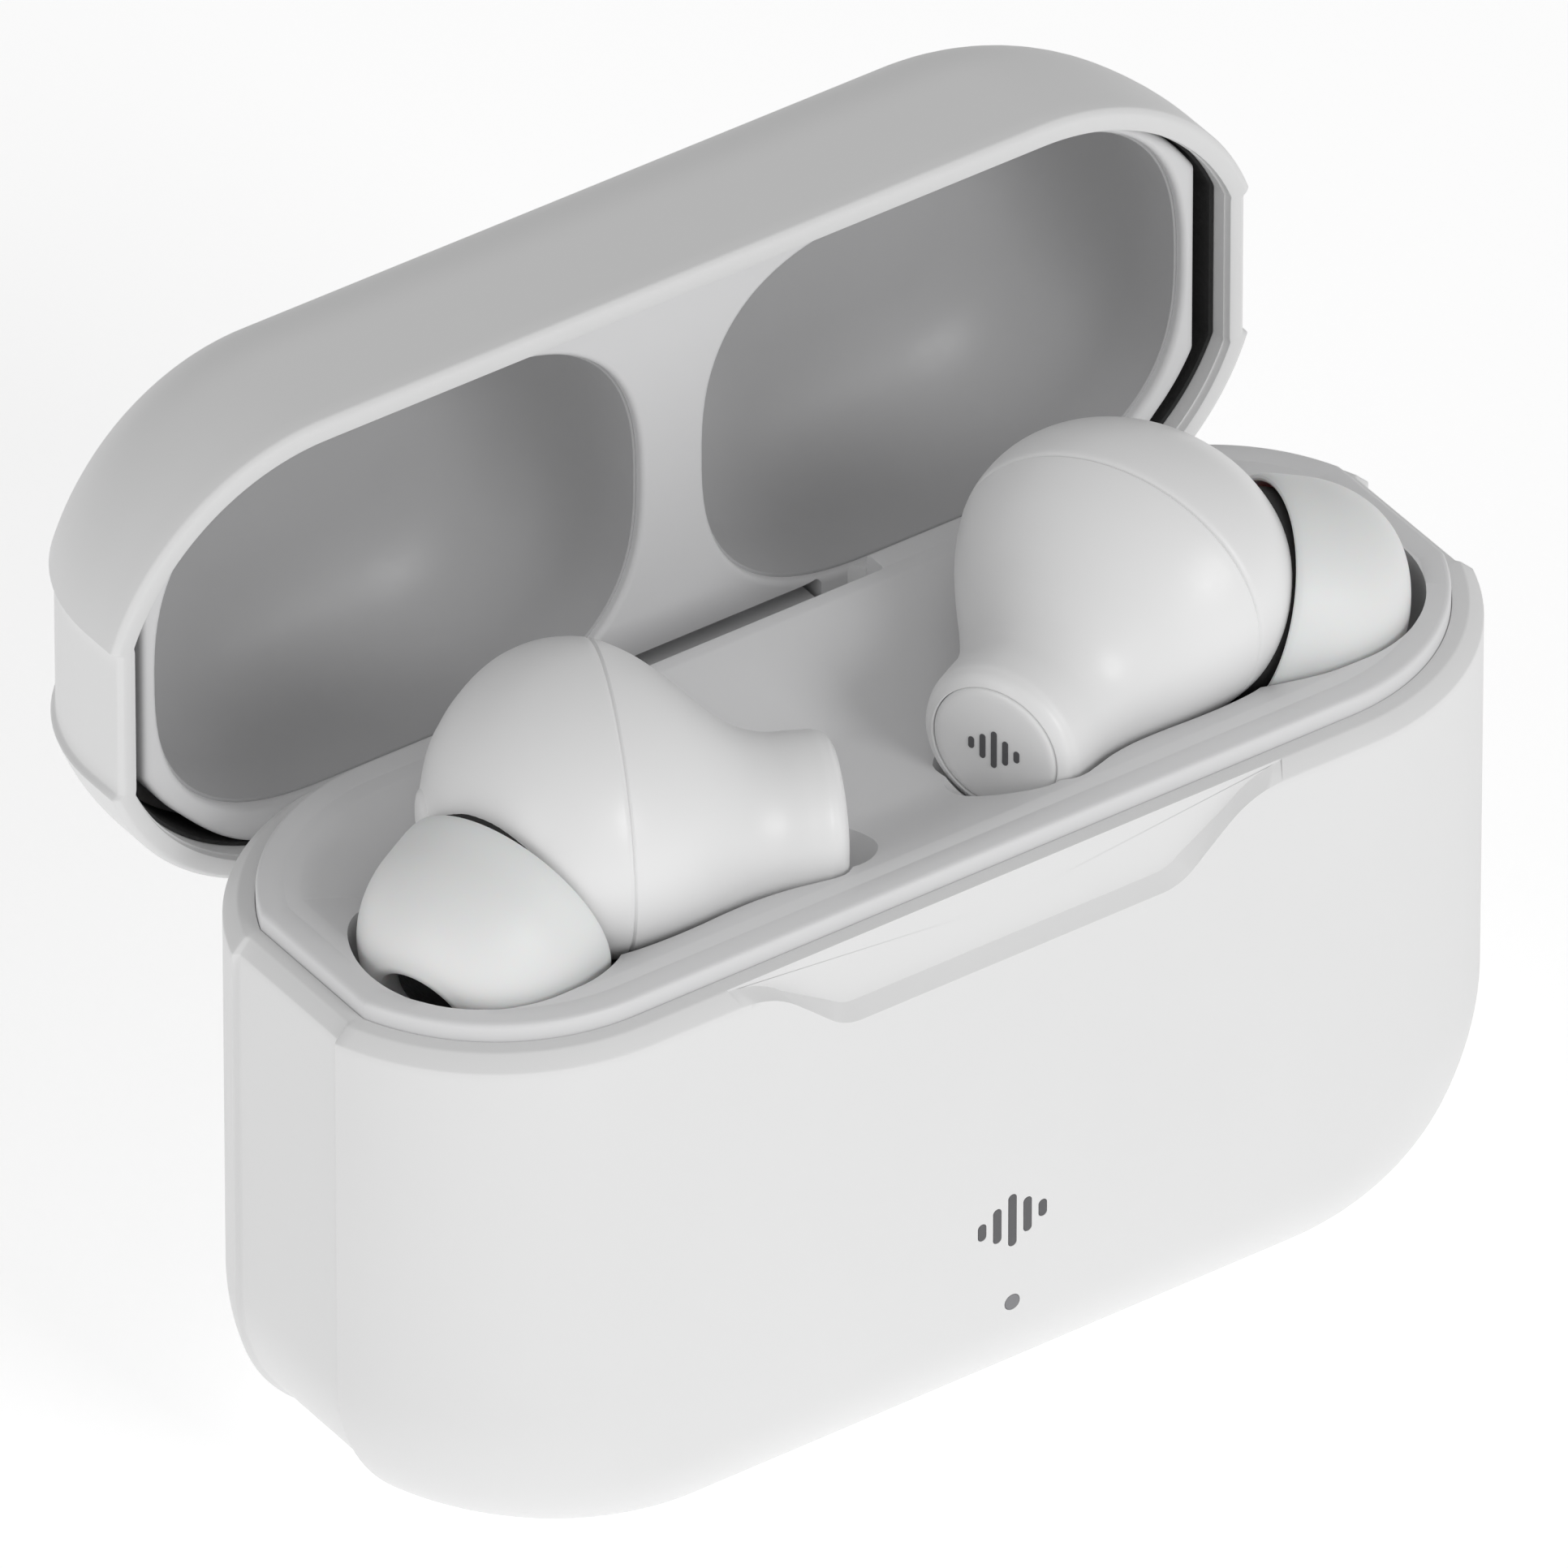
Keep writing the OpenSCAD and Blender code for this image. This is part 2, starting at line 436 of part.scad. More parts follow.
module bud_board() color(green) translate([5.2, 0, 0.4]) rotate([0, 90, 0]) cylinder(h = 0.8, r = 3.0, $fn = 48);
module bud_contacts() color(gold) for (d = [3.2, 5.6]) translate([d, 0, -4.35]) cylinder(h = 0.85, r = 0.8, $fn = 32);
module bud_pull() color(steel) translate([11, 0, -3.2]) cylinder(h = 1, r = 2, $fn = 40);
module inner_housing_left() bud_place() inner_housing();
module outer_housing_left() bud_place() outer_housing();
module touch_plate_left() bud_place() touch_plate();
module touch_mark_left() bud_place() touch_mark();
module ear_tip_left() bud_place() ear_tip();
module tip_mesh_left() bud_place() tip_mesh();
module driver_left() bud_place() driver();
module bud_cell_left() bud_place() bud_cell();
module bud_board_left() bud_place() bud_board();
module bud_contacts_left() bud_place() bud_contacts();
module bud_pull_left() bud_place() bud_pull();
module inner_housing_right() mirror([1, 0, 0]) inner_housing_left();
module outer_housing_right() mirror([1, 0, 0]) outer_housing_left();
module touch_plate_right() mirror([1, 0, 0]) touch_plate_left();
module touch_mark_right() mirror([1, 0, 0]) touch_mark_left();
module ear_tip_right() mirror([1, 0, 0]) ear_tip_left();
module tip_mesh_right() mirror([1, 0, 0]) tip_mesh_left();
module driver_right() mirror([1, 0, 0]) driver_left();
module bud_cell_right() mirror([1, 0, 0]) bud_cell_left();
module bud_board_right() mirror([1, 0, 0]) bud_board_left();
module bud_contacts_right() mirror([1, 0, 0]) bud_contacts_left();
module bud_pull_right() mirror([1, 0, 0]) bud_pull_left();

// The lid is drawn closed and stands open at rest.
module lid_pose() translate([0, hinge_y, hinge_z]) rotate([-90, 0, 0]) translate([0, -hinge_y, -hinge_z]) children();

outer_shell();
front_mark();
light_pipe();
tray();
hinge_bracket();
hinge_pin();
bracket_screws();
usb_port();
usb_tongue();
main_board();
board_screws();
board_chips();
battery();
battery_pad();
charge_board();
charge_screws();
pogo_barrels();
bud_magnets();
lock_magnet();
lid_pose() lid_shell();
lid_pose() lid_liner();
lid_pose() lid_dish_left();
lid_pose() lid_dish_right();
lid_pose() lid_magnet();
lid_pose() hinge_arm();
lid_pose() arm_screws();
pogo_left();
pogo_right();
inner_housing_left();
outer_housing_left();
touch_plate_left();
touch_mark_left();
ear_tip_left();
tip_mesh_left();
driver_left();
bud_cell_left();
bud_board_left();
bud_contacts_left();
bud_pull_left();
inner_housing_right();
outer_housing_right();
touch_plate_right();
touch_mark_right();
ear_tip_right();
tip_mesh_right();
driver_right();
bud_cell_right();
bud_board_right();
bud_contacts_right();
bud_pull_right();
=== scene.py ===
import math

import bmesh
import bpy
import numpy as np
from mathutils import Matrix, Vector


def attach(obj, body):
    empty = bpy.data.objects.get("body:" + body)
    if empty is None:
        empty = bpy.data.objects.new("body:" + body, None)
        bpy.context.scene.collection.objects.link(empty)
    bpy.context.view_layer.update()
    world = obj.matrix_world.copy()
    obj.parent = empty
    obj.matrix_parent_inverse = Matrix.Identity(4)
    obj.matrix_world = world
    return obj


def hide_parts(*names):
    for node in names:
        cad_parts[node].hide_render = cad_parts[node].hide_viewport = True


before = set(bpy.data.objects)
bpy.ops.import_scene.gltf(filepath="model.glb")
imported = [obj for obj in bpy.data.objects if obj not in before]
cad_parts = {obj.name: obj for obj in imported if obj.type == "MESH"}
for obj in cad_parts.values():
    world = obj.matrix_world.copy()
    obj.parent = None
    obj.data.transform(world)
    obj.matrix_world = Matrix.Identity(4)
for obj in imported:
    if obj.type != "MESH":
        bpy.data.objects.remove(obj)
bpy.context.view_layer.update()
bpy.context.scene.view_settings.view_transform = "Standard"


# --- Case shell -------------------------------------------------------------------------------
# The outer tub of the case: one injection moulding in matt white plastic, flat underneath, with a
# shallow channel down each end, a thumb notch in the front rim and a window for the hinge barrel.
CASE_LONG, CASE_DEEP, RIM_Z = 65.0, 25.0, 30.0
HALF_LONG, HALF_DEEP = CASE_LONG / 2, CASE_DEEP / 2
CORNER_R, EDGE_R, WALL = 9.6, 4.8, 1.5
CHANNEL_W, CHANNEL_DEEP, CHANNEL_STEP = 7.7, 1.0, 0.3
HINGE_Y, HINGE_Z, BARREL_R, BARREL_HALF = 9.75, 26.45, 2.6, 8.0
SWEEP_R = 3.86
PORT_Z, PORT_HALF_WIDE, PORT_HALF_HIGH, PORT_ROUND = 6.6, 4.65, 1.8, 1.6
LAMP_Z, LAMP_HOLE_R, MARK_Z, MARK_SPARE = 5.9, 0.43, 10.6, 0.03
SLOT_HALF = BARREL_HALF + 0.3
NOTCH_LOW, NOTCH_FOOT, NOTCH_HEAD, NOTCH_TOP, NOTCH_BEND = 25.72, 9.35, 13.75, 29.55, 2.6


def outline(half_long, radius, channel=CHANNEL_DEEP, front=60):
    """Plan outline of the case: straight long sides and round ends of the given radius, with a flat
    channel let into the middle of each end. Returns x, y pairs, anticlockwise seen from above."""
    foot = min(0.92 * radius, CHANNEL_W / 2 + CHANNEL_STEP)
    lip = foot * (CHANNEL_W / 2) / (CHANNEL_W / 2 + CHANNEL_STEP)
    turn = np.linspace(-math.pi / 2, -math.asin(foot / radius), 28)
    arc = np.c_[half_long - radius + radius * np.cos(turn), radius * np.sin(turn)]
    floor_x = min(half_long - channel, half_long - radius + math.sqrt(radius**2 - lip**2))
    step = np.linspace(0, 1, 7)[1:]
    ease = step * step * (3 - 2 * step)
    bevel = np.c_[arc[-1, 0] + (floor_x - arc[-1, 0]) * ease, -foot + (foot - lip) * step]
    flat_y = np.linspace(-lip, 0, 6)[1:]
    flat = np.c_[np.full(5, floor_x), flat_y]
    quarter = np.vstack([arc, bevel, flat])
    right = np.vstack([quarter, (quarter * [1, -1])[-2::-1]])
    left = -right
    rear_x = np.linspace(right[-1, 0], left[0, 0], 80)[1:-1]
    front_x = np.linspace(left[-1, 0], right[0, 0], front)[1:-1]
    rear = np.c_[rear_x, np.full(78, radius)]
    ahead = np.c_[front_x, np.full(front - 2, -radius)]
    return np.vstack([right, rear, left, ahead])


def half(z, size, radius):
    """Half-size of a rounded edge at height z above its start: size less radius, plus the chord."""
    return size - radius + math.sqrt(max(0.0, radius**2 - max(0.0, radius - z) ** 2))


def rounded_steps(radius, count):
    """Heights that cut a quarter-round edge into equal turns: radius times one minus cosine."""
    return radius * (1 - np.cos(np.linspace(0, math.pi / 2, count)))


def level_ring(xy, z):
    """An outline lifted to height z."""
    return np.c_[xy, np.full(len(xy), z)]


def skin(name, rings, loop=False, crease=35):
    """Mesh piece from a stack of equal rings in millimetres: quads between neighbours, and either
    a fan to the middle of the first and last ring or, with loop, a closed band."""
    stack = np.asarray(rings, float)
    m, n = stack.shape[:2]
    rows = np.arange(m if loop else m - 1)[:, None]
    cols = np.arange(n)[None, :]
    a, d = rows * n + cols, ((rows + 1) % m) * n + cols
    b, c = rows * n + (cols + 1) % n, ((rows + 1) % m) * n + (cols + 1) % n
    faces = np.stack([a, b, c, d], -1).reshape(-1, 4).tolist()
    verts = stack.reshape(-1, 3)
    if not loop:
        ends = [stack[0].mean(0), stack[-1].mean(0)]
        verts = np.vstack([verts, ends])
        k = np.arange(n)
        faces += np.c_[np.full(n, m * n), (k + 1) % n, k].tolist()
        faces += np.c_[np.full(n, m * n + 1), (m - 1) * n + k, (m - 1) * n + (k + 1) % n].tolist()
    mesh = bpy.data.meshes.new(name)
    mesh.from_pydata((verts * 0.001).tolist(), [], faces)
    return dress(name, mesh, crease)


def dress(name, mesh, crease=35):
    """Makes a mesh a shown piece: doubles merged, faces outward, smooth up to the crease angle."""
    work = bmesh.new()
    work.from_mesh(mesh)
    bmesh.ops.remove_doubles(work, verts=work.verts, dist=1e-7)
    bmesh.ops.recalc_face_normals(work, faces=work.faces)
    work.to_mesh(mesh)
    work.free()
    mesh.shade_smooth()
    mesh.set_sharp_from_angle(angle=math.radians(crease))
    piece = bpy.data.objects.new(name, mesh)
    bpy.context.scene.collection.objects.link(piece)
    return piece


def carve(piece, cutters, crease=35):
    """Cuts the cutters out of a closed piece for good, then removes them."""
    for cutter in cutters:
        tool = piece.modifiers.new("carve", "BOOLEAN")
        tool.operation, tool.solver, tool.object = "DIFFERENCE", "EXACT", cutter
    bpy.context.view_layer.update()
    shape = bpy.data.meshes.new_from_object(piece.evaluated_get(bpy.context.evaluated_depsgraph_get()))
    piece.modifiers.clear()
    old, piece.data = piece.data, shape
    bpy.data.meshes.remove(old)
    shape.shade_smooth()
    shape.set_sharp_from_angle(angle=math.radians(crease))
    for cutter in cutters:
        bpy.data.objects.remove(cutter)


def bar_rings(x, y, z, round_xy, round_end=0.0):
    """Rings of a closed block between the given limits, its upright edges rounded by round_xy and
    its two level faces by round_end: rounded oblongs drawn in along a quarter turn at each end."""
    t = np.linspace(0, 2 * math.pi, 48, endpoint=False) + math.pi / 48
    cx, cy = (x[0] + x[1]) / 2, (y[0] + y[1]) / 2
    hx, hy = (x[1] - x[0]) / 2 - round_xy, (y[1] - y[0]) / 2 - round_xy
    side = np.c_[cx + np.sign(np.cos(t)) * hx, cy + np.sign(np.sin(t)) * hy]
    spin = np.c_[np.cos(t), np.sin(t)]
    rings = []
    for lift in rounded_steps(round_end, 6) if round_end else [0.0]:
        drawn = round_end - math.sqrt(max(0.0, round_end**2 - (round_end - lift) ** 2))
        rings.append(level_ring(side + spin * (round_xy - drawn), z[0] + lift))
    top = [np.c_[r[:, :2], z[1] - (r[:, 2] - z[0])] for r in rings[::-1]]
    return np.array(rings + top)


def drum(name, start, axis, length, radius, segments=48):
    """Closed round bar of one radius from start along axis: a circle carried along the line."""
    along = Vector(axis).normalized()
    u = along.orthogonal().normalized()
    v = along.cross(u)
    t = np.linspace(0, 2 * math.pi, segments, endpoint=False)[:, None]
    circle = radius * (np.cos(t) * np.array(u) + np.sin(t) * np.array(v))
    ends = [np.array(start) + np.array(along) * k for k in (0, length)]
    return skin(name, [circle + e for e in ends])


def notch_rings():
    """Cutter for the thumb notch: a trapezium with rounded lower corners, flared where it meets the
    rim, whose edges slope inwards so that the rim's bevel seems to dip round it. Each ring is the
    outline drawn in by a distance, at the depth that goes with it."""
    rings = []
    for drawn, y in ((-0.5, -13.0), (0.0, -12.5), (0.66, -11.82), (0.68, -11.8)):
        low = NOTCH_LOW + drawn
        lean = math.atan2(NOTCH_TOP - NOTCH_LOW, NOTCH_HEAD - NOTCH_FOOT)
        foot_x = NOTCH_FOOT - drawn * math.tan(lean / 2)
        head_x = NOTCH_HEAD - drawn * (1 / math.sin(lean) - 1 / math.tan(lean))
        bend = NOTCH_BEND - drawn
        reach = bend * math.tan(lean / 2)
        turn = np.linspace(-math.pi / 2, -math.pi / 2 + lean, 9)
        corner = np.c_[foot_x - reach + bend * np.cos(turn), low + bend + bend * np.sin(turn)]
        brow = 29.2 + 0.9 * drawn
        start, crown = (head_x - (NOTCH_TOP - z) / math.tan(lean) for z in (brow - 1.2, brow))
        w = np.linspace(0, 1, 8)[:, None]
        flare = ((1 - w) ** 2 * [start, brow - 1.2] + 2 * w * (1 - w) * [crown, brow]
                 + w**2 * [crown + 1.7, brow + 0.02])
        side = np.vstack([corner, flare, [[flare[-1, 0], 34.0]]])
        ring = np.vstack([side, (side * [-1, 1])[::-1]])
        rings.append(np.c_[ring[:, 0], np.full(len(ring), y), ring[:, 1]])
    return np.array(rings)


def tub_rings(corner_r, edge_r, wall, floor, rim, uprights):
    """Rings of a round-bottomed tub: up the outside, over the rim profile, down the inside.
    rim is a list of (inset, height) pairs and uprights the heights above the corner."""
    rings = []
    for z in rounded_steps(corner_r, 26):
        rings.append(level_ring(outline(half(z, HALF_LONG, corner_r), half(z, HALF_DEEP, edge_r)), z))
    for z in uprights:
        rings.append(level_ring(outline(HALF_LONG, HALF_DEEP), z))
    for inset, z in rim:
        rings.append(level_ring(outline(HALF_LONG - inset, HALF_DEEP - inset,
                                        CHANNEL_DEEP - 0.2 * inset / wall), z))
    inner_r = corner_r - wall
    for z in rounded_steps(inner_r, 12)[::-1]:
        rings.append(level_ring(outline(half(z, HALF_LONG - wall, inner_r),
                                        half(z, HALF_DEEP - wall, edge_r - wall),
                                        CHANNEL_DEEP - 0.2), z + floor))
    return rings


RIM = [(inset, RIM_Z - drop) for inset, drop in (
    (0.0, 0.82), (0.02, 0.76), (0.06, 0.71), (0.62, 0.12), (0.68, 0.07), (0.76, 0.04),
    (1.4, 0.01), (1.47, 0.03), (WALL, 0.1), (WALL, 3.0), (WALL, 7.0))]
rings = tub_rings(CORNER_R, EDGE_R, WALL, WALL, RIM, np.linspace(11, 28.8, 12))
stack = np.array(rings)
behind = np.clip(stack[..., 1] - HINGE_Y, 0, SWEEP_R)
swept = HINGE_Z + np.sqrt(SWEEP_R**2 - behind**2)
stack[..., 2] = np.where(stack[..., 1] > HINGE_Y, np.minimum(stack[..., 2], swept), stack[..., 2])
case_shell = skin("case_shell", stack)


def upright(points):
    """Turns rings drawn lying flat to stand facing the front: height becomes depth, y height."""
    return np.stack([points[..., 0], -points[..., 2], points[..., 1]], -1)


def bar_cutters(scale, spare, z, deep):
    """The five level bars of the front mark as cutters: rounded bars side by side, the middle one
    longest, each grown by spare."""
    return [skin(f"bar_{k}", upright(bar_rings(
        ((k - 2) * 0.85 * scale - 0.21 * scale - spare, (k - 2) * 0.85 * scale + 0.21 * scale + spare),
        (z - tall * scale / 2 - spare, z + tall * scale / 2 + spare), deep, 0.21 * scale + spare - 0.001)))
        for k, tall in enumerate((0.9, 1.9, 2.9, 1.9, 0.9))]


carve(case_shell, [
    skin("notch", notch_rings()),
    skin("window", bar_rings((-SLOT_HALF, SLOT_HALF), (HINGE_Y, 16), (HINGE_Z - BARREL_R - 0.3, 34), 0.4)),
    skin("port_hole", upright(bar_rings(
        (-PORT_HALF_WIDE, PORT_HALF_WIDE), (PORT_Z - PORT_HALF_HIGH, PORT_Z + PORT_HALF_HIGH), (-14, -9), PORT_ROUND))),
    drum("lamp_hole", (0, -13, LAMP_Z), (0, 1, 0), 3.5, LAMP_HOLE_R),
    *bar_cutters(1, MARK_SPARE, MARK_Z, (12.0, 13.5))])


def surface_group():
    """Node group for every finish here: colour drifts slowly across the piece, a fine grain gives
    the height, and roughness follows both. Grain and Patch are counts to the metre."""
    group = bpy.data.node_groups.new("worked_surface", "ShaderNodeTree")
    for name, kind in (("Colour", "Color"), ("Drift", "Float"), ("Grain", "Float"), ("Patch", "Float"),
                       ("Smoothest", "Float"), ("Roughest", "Float"), ("Stretch", "Vector")):
        group.interface.new_socket(name, in_out="INPUT", socket_type=f"NodeSocket{kind}")
    for name, kind in (("Colour", "Color"), ("Roughness", "Float"), ("Height", "Float")):
        group.interface.new_socket(name, in_out="OUTPUT", socket_type=f"NodeSocket{kind}")
    nodes, wire = group.nodes, group.links.new
    given, out = nodes.new("NodeGroupInput"), nodes.new("NodeGroupOutput")
    place, pull = nodes.new("ShaderNodeTexCoord"), nodes.new("ShaderNodeVectorMath")
    pull.operation = "MULTIPLY"
    wire(place.outputs["Object"], pull.inputs[0])
    wire(given.outputs["Stretch"], pull.inputs[1])
    grain, patch = nodes.new("ShaderNodeTexNoise"), nodes.new("ShaderNodeTexNoise")
    for texture, count, detail in ((grain, "Grain", 2.0), (patch, "Patch", 3.0)):
        texture.inputs["Detail"].default_value = detail
        wire(pull.outputs[0], texture.inputs["Vector"])
        wire(given.outputs[count], texture.inputs["Scale"])
    spread = nodes.new("ShaderNodeMath")
    spread.operation = "MULTIPLY_ADD"
    lean = nodes.new("ShaderNodeMath")
    lean.operation = "SUBTRACT"
    wire(patch.outputs["Fac"], lean.inputs[0])
    lean.inputs[1].default_value = 0.5
    wire(lean.outputs[0], spread.inputs[0])
    wire(given.outputs["Drift"], spread.inputs[1])
    spread.inputs[2].default_value = 1.0
    tint = nodes.new("ShaderNodeVectorMath")
    tint.operation = "SCALE"
    wire(given.outputs["Colour"], tint.inputs[0])
    wire(spread.outputs[0], tint.inputs["Scale"])
    wire(tint.outputs[0], out.inputs["Colour"])
    both = nodes.new("ShaderNodeMath")
    both.operation = "MULTIPLY_ADD"
    wire(grain.outputs["Fac"], both.inputs[0])
    both.inputs[1].default_value = 0.5
    half_patch = nodes.new("ShaderNodeMath")
    half_patch.operation = "MULTIPLY"
    wire(patch.outputs["Fac"], half_patch.inputs[0])
    half_patch.inputs[1].default_value = 0.5
    wire(half_patch.outputs[0], both.inputs[2])
    rough = nodes.new("ShaderNodeMapRange")
    wire(both.outputs[0], rough.inputs["Value"])
    rough.inputs["From Min"].default_value, rough.inputs["From Max"].default_value = 0.3, 0.7
    wire(given.outputs["Smoothest"], rough.inputs["To Min"])
    wire(given.outputs["Roughest"], rough.inputs["To Max"])
    wire(rough.outputs[0], out.inputs["Roughness"])
    wire(grain.outputs["Fac"], out.inputs["Height"])
    return group


WORKED = surface_group()


def finish(name, colour, rough, grain, deep, drift=0.03, patch=120, stretch=(1, 1, 1), **fixed):
    """A material: the worked surface group feeding a principled shader, grain counted to the metre
    and deep in millimetres; fixed values such as metallic go straight on the shader's sockets."""
    made = bpy.data.materials.new(name)
    made.use_nodes = True
    nodes, wire = made.node_tree.nodes, made.node_tree.links.new
    shader = nodes["Principled BSDF"]
    work = nodes.new("ShaderNodeGroup")
    work.node_tree = WORKED
    for socket, value in (("Colour", (*colour, 1)), ("Drift", drift), ("Grain", grain), ("Patch", patch),
                          ("Smoothest", rough[0]), ("Roughest", rough[1]), ("Stretch", stretch)):
        work.inputs[socket].default_value = value
    bump = nodes.new("ShaderNodeBump")
    bump.inputs["Distance"].default_value = deep * 0.001
    wire(work.outputs["Height"], bump.inputs["Height"])
    wire(bump.outputs["Normal"], shader.inputs["Normal"])
    wire(work.outputs["Colour"], shader.inputs["Base Color"])
    wire(work.outputs["Roughness"], shader.inputs["Roughness"])
    for socket, value in fixed.items():
        shader.inputs[socket.replace("_", " ")].default_value = value
    return made


def settle(piece, body, slot_name, material, *stands_for):
    """Puts a finished piece in place: its material, the body it rides on and the solids it
    stands for. slot_name is not used."""
    piece.data.materials.clear()
    piece.data.materials.append(material)
    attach(piece, body)
    if stands_for:
        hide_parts(*stands_for)


def repaint(material, *solids):
    """Gives solids of the frame a material, in every slot they have."""
    for solid in solids:
        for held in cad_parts[solid].material_slots:
            held.material = material


matt_white = finish("matt_white_moulding", (0.80, 0.80, 0.80), (0.46, 0.62), 3400, 0.0035)
settle(case_shell, "case", "case_plastic", matt_white, "outer_shell")

# --- Tray --------------------------------------------------------------------------------------
# The insert that holds the earbuds: pale satin plastic, pressed into the shell, with a raised
# collar, a dished top and two pockets that follow the earbuds and open straight up.
COLLAR_Z, COLLAR_IN, COLLAR_W = 30.9, 1.6, 2.2
DISH_DEEP, DISH_REACH, POCKET_GAP, FACE_RELIEF = 2.4, 6.1, 0.42, 1.7
FACE_AT = np.array([-4.3, -4.8, 30.9])
BUD_TURN, TIP_TURN, TIP_DIP = math.radians(154.9), math.radians(43.5), math.radians(18.8)
BULB_X, BULB_Z, TIP_R, TIP_LONG = 11.4, 2.4, 5.7, 6.4
# distance from the touch face, half-width, half-height, rise of the centre
BUD = np.array([
    [0, 3.1, 3.1, 0], [0.25, 3.62, 3.62, 0], [0.75, 3.95, 3.95, 0], [1.6, 4.05, 4.05, 0],
    [3.4, 4.15, 4.1, 0.05], [4.8, 4.55, 4.4, 0.3], [6.2, 5.35, 5.05, 0.85], [7.6, 6.35, 5.8, 1.5],
    [8.8, 7.1, 6.35, 1.95], [9.6, 7.5, 6.65, 2.15], [10.8, 7.95, 6.97, 2.36], [12, 8.1, 7.1, 2.4],
    [13.6, 7.95, 6.95, 2.4], [15.2, 7.3, 6.4, 2.35], [16.6, 6.2, 5.5, 2.25], [17.8, 4.8, 4.3, 2.15],
    [18.7, 3.2, 2.9, 2.1], [19.2, 1.6, 1.45, 2.05]])


def faired(table, s):
    """Smooth curve through a table of sections: each column is a cubic between its points, with
    slopes taken from the neighbours on both sides."""
    x, y = table[:, 0], table[:, 1:]
    slope = np.gradient(y, x, axis=0)
    i = np.clip(np.searchsorted(x, s, "right") - 1, 0, len(x) - 2)
    w = (x[i + 1] - x[i])[..., None]
    t = ((s - x[i])[..., None]) / w
    return ((2 * t**3 - 3 * t**2 + 1) * y[i] + (t**3 - 2 * t**2 + t) * w * slope[i]
            + (3 * t**2 - 2 * t**3) * y[i + 1] + (t**3 - t**2) * w * slope[i + 1])


def tip_axis():
    """Middle of the bulb and unit direction of the nozzle, left earbud, seated."""
    c, s = math.cos(BUD_TURN), math.sin(BUD_TURN)
    bulb = FACE_AT + [BULB_X * c, BULB_X * s, BULB_Z]
    level = math.cos(TIP_DIP)
    heading = BUD_TURN + TIP_TURN
    return bulb, np.array([level * math.cos(heading), level * math.sin(heading), -math.sin(TIP_DIP)])


def stem_pocket(gap, sides=64):
    """Cutter for the left earbud's pocket: each oval of the earbud grown by the gap, its upper half
    carried straight up out of the tray, with a rounded relief beyond the touch face."""
    relief = np.linspace(0, math.pi / 2, 9)[:-1]
    s = np.r_[-FACE_RELIEF * np.cos(relief), np.linspace(0.0, 19.0, 80), 19.2 + gap]
    size = faired(BUD, np.clip(s, 0.0, 19.2))
    size[:8] = size[8] * np.c_[np.sin(relief), np.sin(relief), np.ones(8)]
    t = np.linspace(-math.pi, 0, sides)[None, :]
    wide = (size[:, 0, None] + gap) * np.cos(t)
    high = size[:, 2, None] + (size[:, 1, None] + gap) * np.sin(t)
    wide = np.concatenate([wide[:, :1], wide, wide[:, -1:]], 1)
    high = np.concatenate([np.full((len(s), 1), 12.0), high, np.full((len(s), 1), 12.0)], 1)
    along, across, up = bud_frame()
    return FACE_AT + s[:, None, None] * along + wide[..., None] * across + high[..., None] * up


def tip_pocket(sides=48):
    """Cutter for the ear tip's pocket: an egg about the tip, sliced upright across its heading, each
    slice's lower half kept and its sides carried straight up."""
    bulb, along = tip_axis()
    egg, long_r, wide_r = bulb + along * 8.6, 6.5, 6.2
    level = math.hypot(along[0], along[1])
    k = 1 / long_r**2 - 1 / wide_r**2
    reach = math.sqrt(long_r**2 * level**2 + wide_r**2 * along[2] ** 2) * 0.999
    p = -reach * np.cos(np.linspace(0.02, math.pi - 0.02, 44))[:, None]
    qa = 1 / wide_r**2 + k * along[2] ** 2
    qb = 2 * k * p * level * along[2]
    flat = p * p / wide_r**2 + k * (p * level) ** 2 - 1
    width = wide_r * np.sqrt(np.clip(qb * qb / (4 * qa) - flat, 1e-6, None))
    q = width * np.cos(np.linspace(-math.pi, 0, sides))[None, :]
    drop = np.sqrt(np.clip(qb * qb - 4 * qa * (flat + q * q / wide_r**2), 0, None))
    z = egg[2] + (-qb - drop) / (2 * qa)
    q = np.concatenate([q[:, :1], q, q[:, -1:]], 1)
    z = np.concatenate([np.full_like(p, 44.0), z, np.full_like(p, 44.0)], 1)
    ahead, beside = along[:2] / level, np.array([-along[1], along[0]]) / level
    return np.stack([egg[0] + p * ahead[0] + q * beside[0], egg[1] + p * ahead[1] + q * beside[1], z], -1)


def bud_frame():
    """Unit directions of the left earbud at rest: along the stem, across it, and up."""
    c, s = math.cos(BUD_TURN), math.sin(BUD_TURN)
    return np.array([c, s, 0.0]), np.array([-s, c, 0.0]), np.array([0.0, 0.0, 1.0])


def handed(points, side):
    """The left earbud's points, or their mirror image for the right one."""
    return points if side < 0 else points * [-1, 1, 1]


profile = [(COLLAR_IN + inset, COLLAR_Z - drop) for inset, drop in (
    (-0.08, 7.9), (-0.08, 0.28), (-0.04, 0.14), (0.06, 0.04), (0.2, 0.0), (1.1, 0.0), (1.16, 0.03),
    (1.24, 0.04), (1.32, 0.03), (1.9, 0.04), (2.06, 0.08))]
for e in np.linspace(0, 8.35, 34)[1:]:
    f = min(e / DISH_REACH, 1)
    fall = 0.55 * f * f * (3 - 2 * f) + 0.45 * (1 - (1 - f) ** 1.8)
    profile.append((COLLAR_IN + COLLAR_W + e, COLLAR_Z - 0.16 - (DISH_DEEP - 0.1) * fall))
stack = np.array([level_ring(outline(HALF_LONG - e, HALF_DEEP - e, CHANNEL_DEEP - 0.2), z)
                  for e, z in profile])
tray = skin("tray_insert", stack)
